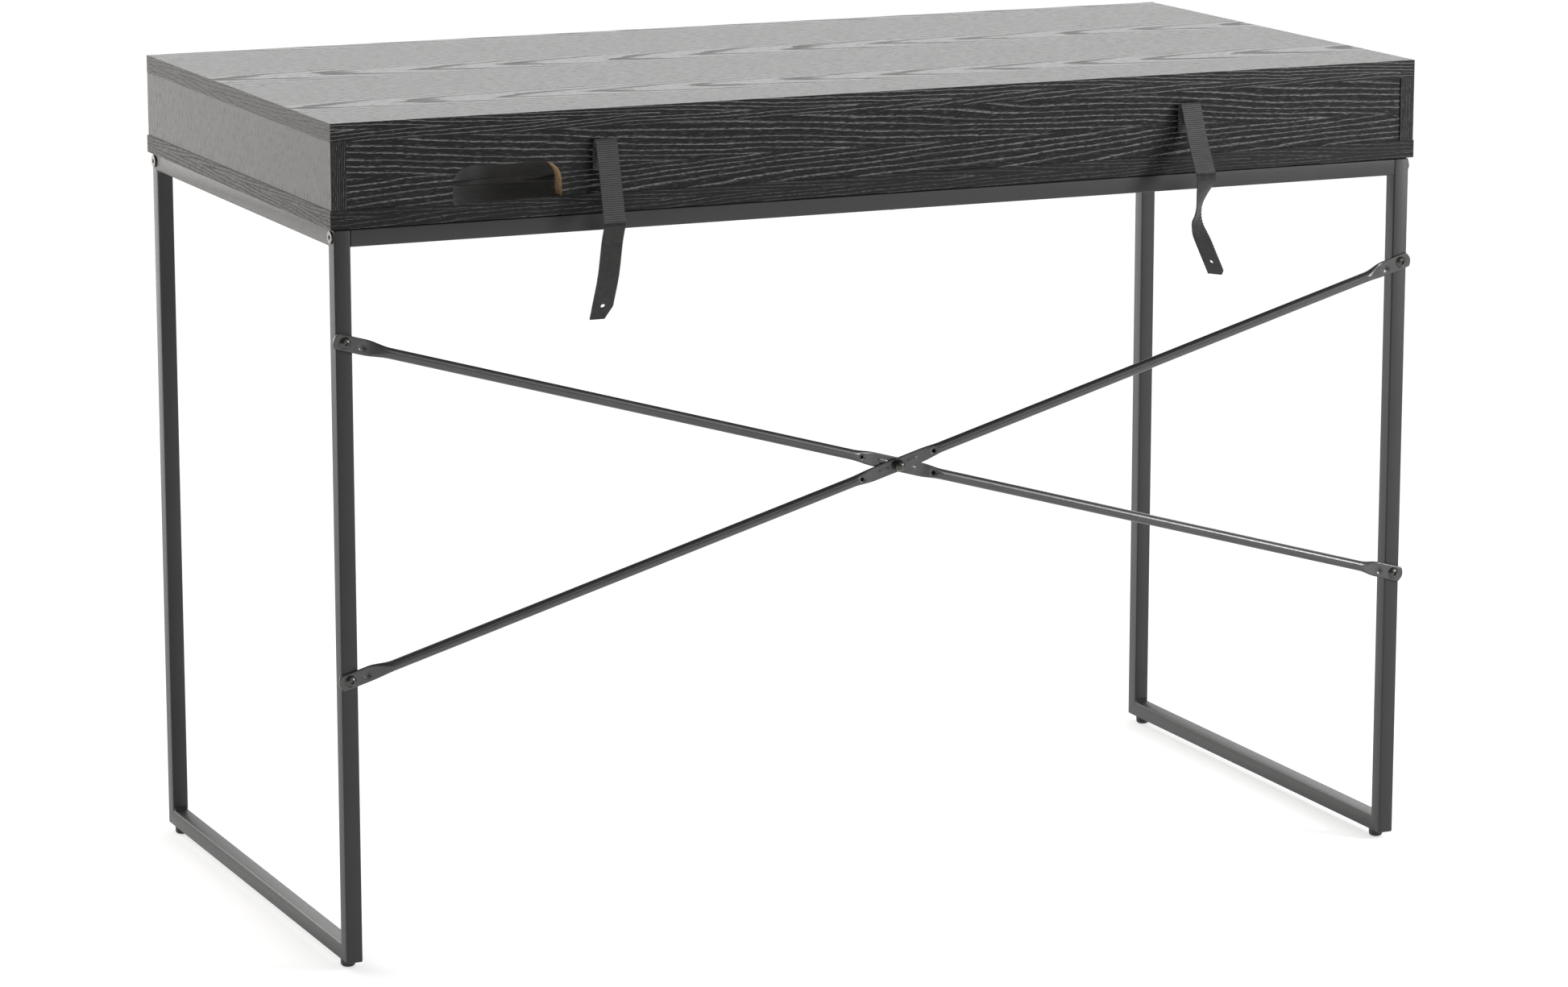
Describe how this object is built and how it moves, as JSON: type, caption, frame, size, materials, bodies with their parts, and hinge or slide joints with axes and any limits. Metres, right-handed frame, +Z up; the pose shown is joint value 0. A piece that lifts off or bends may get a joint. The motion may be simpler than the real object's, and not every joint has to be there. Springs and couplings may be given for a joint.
{
  "type": "writing desk with drawers",
  "caption": "Writing desk: flat black ash box with sliding drawers, an open niche and a cable cut-out, on a square tube frame with a crossed rear brace and wall straps.",
  "frame": {"origin": "on the floor, under the middle of the desktop", "axes": "+X to the sitter's right, +Y to the back, +Z up; the drawers pull out along -Y"},
  "size_m": [1.052, 0.5695, 0.74],
  "materials": {
    "ash_foil": "satin black ash foil with open grain",
    "drawer_foil": "matt black foil",
    "hardboard": "matt lacquered hardboard",
    "powder_coat": "fine-textured satin powder coat",
    "zinc": "bright zinc plate",
    "ball_steel": "polished",
    "black_bolt": "black oxide, slightly oily shine",
    "black_plastic": "moulded black polyethylene",
    "webbing": "ribbed woven polypropylene",
    "beech": "raw fluted beech"
  },
  "bodies": {
    "carcass": {"top_panel": "ash_foil", "bottom_panel": "ash_foil", "side_panel_left": "ash_foil", "side_panel_right": "ash_foil", "back_panel": "ash_foil", "divider_middle": "ash_foil", "divider_niche": "ash_foil", "slide_outer_1": "zinc", "slide_outer_2": "zinc", "slide_outer_3": "zinc", "slide_outer_4": "zinc", "slide_screws": "zinc", "rail_plugs": "zinc", "rivet_nuts": "zinc", "frame_screws": "zinc", "strap_washers": "zinc", "cam_locks": "zinc", "cam_bolts": "zinc", "side_frame_left": "powder_coat", "side_frame_right": "powder_coat", "front_rail": "powder_coat", "rear_rail": "powder_coat", "brace_front": "powder_coat", "brace_rear": "powder_coat", "corner_bolts": "black_bolt", "brace_bolts": "black_bolt", "centre_bolt": "black_bolt", "centre_cap_nut": "black_bolt", "strap_screws": "black_bolt", "base_screws": "black_bolt", "foot_1": "black_plastic", "foot_2": "black_plastic", "foot_3": "black_plastic", "foot_4": "black_plastic", "strap_left": "webbing", "strap_right": "webbing", "dowels": "beech"},
    "drawer_left": {"drawer_left_front": "ash_foil", "drawer_left_wall_left": "drawer_foil", "drawer_left_wall_right": "drawer_foil", "drawer_left_back": "drawer_foil", "drawer_left_bottom": "hardboard", "drawer_left_screws": "zinc", "slide_inner_1": "zinc", "slide_inner_2": "zinc"},
    "drawer_right": {"drawer_right_front": "ash_foil", "drawer_right_wall_left": "drawer_foil", "drawer_right_wall_right": "drawer_foil", "drawer_right_back": "drawer_foil", "drawer_right_bottom": "hardboard", "drawer_right_screws": "zinc", "slide_inner_3": "zinc", "slide_inner_4": "zinc"},
    "cages_left": {"slide_cage_1": "black_plastic", "slide_cage_2": "black_plastic", "slide_balls_left": "ball_steel"},
    "cages_right": {"slide_cage_3": "black_plastic", "slide_cage_4": "black_plastic", "slide_balls_right": "ball_steel"}
  },
  "joints": [
    {"name": "drawer_left_slide", "type": "slide", "parent": "carcass", "child": "drawer_left", "axis": [0, -1, 0], "range_m": [0, 0.28]},
    {"name": "drawer_right_slide", "type": "slide", "parent": "carcass", "child": "drawer_right", "axis": [0, -1, 0], "range_m": [0, 0.28]},
    {"name": "cages_left_roll", "type": "slide", "parent": "carcass", "child": "cages_left", "axis": [0, -1, 0], "range_m": [0, 0.14]},
    {"name": "cages_right_roll", "type": "slide", "parent": "carcass", "child": "cages_right", "axis": [0, -1, 0], "range_m": [0, 0.14]}
  ],
  "couplings": [
    {"joint": "cages_left_roll", "follows": "drawer_left_slide", "ratio": 0.5},
    {"joint": "cages_right_roll", "follows": "drawer_right_slide", "ratio": 0.5}
  ]
}
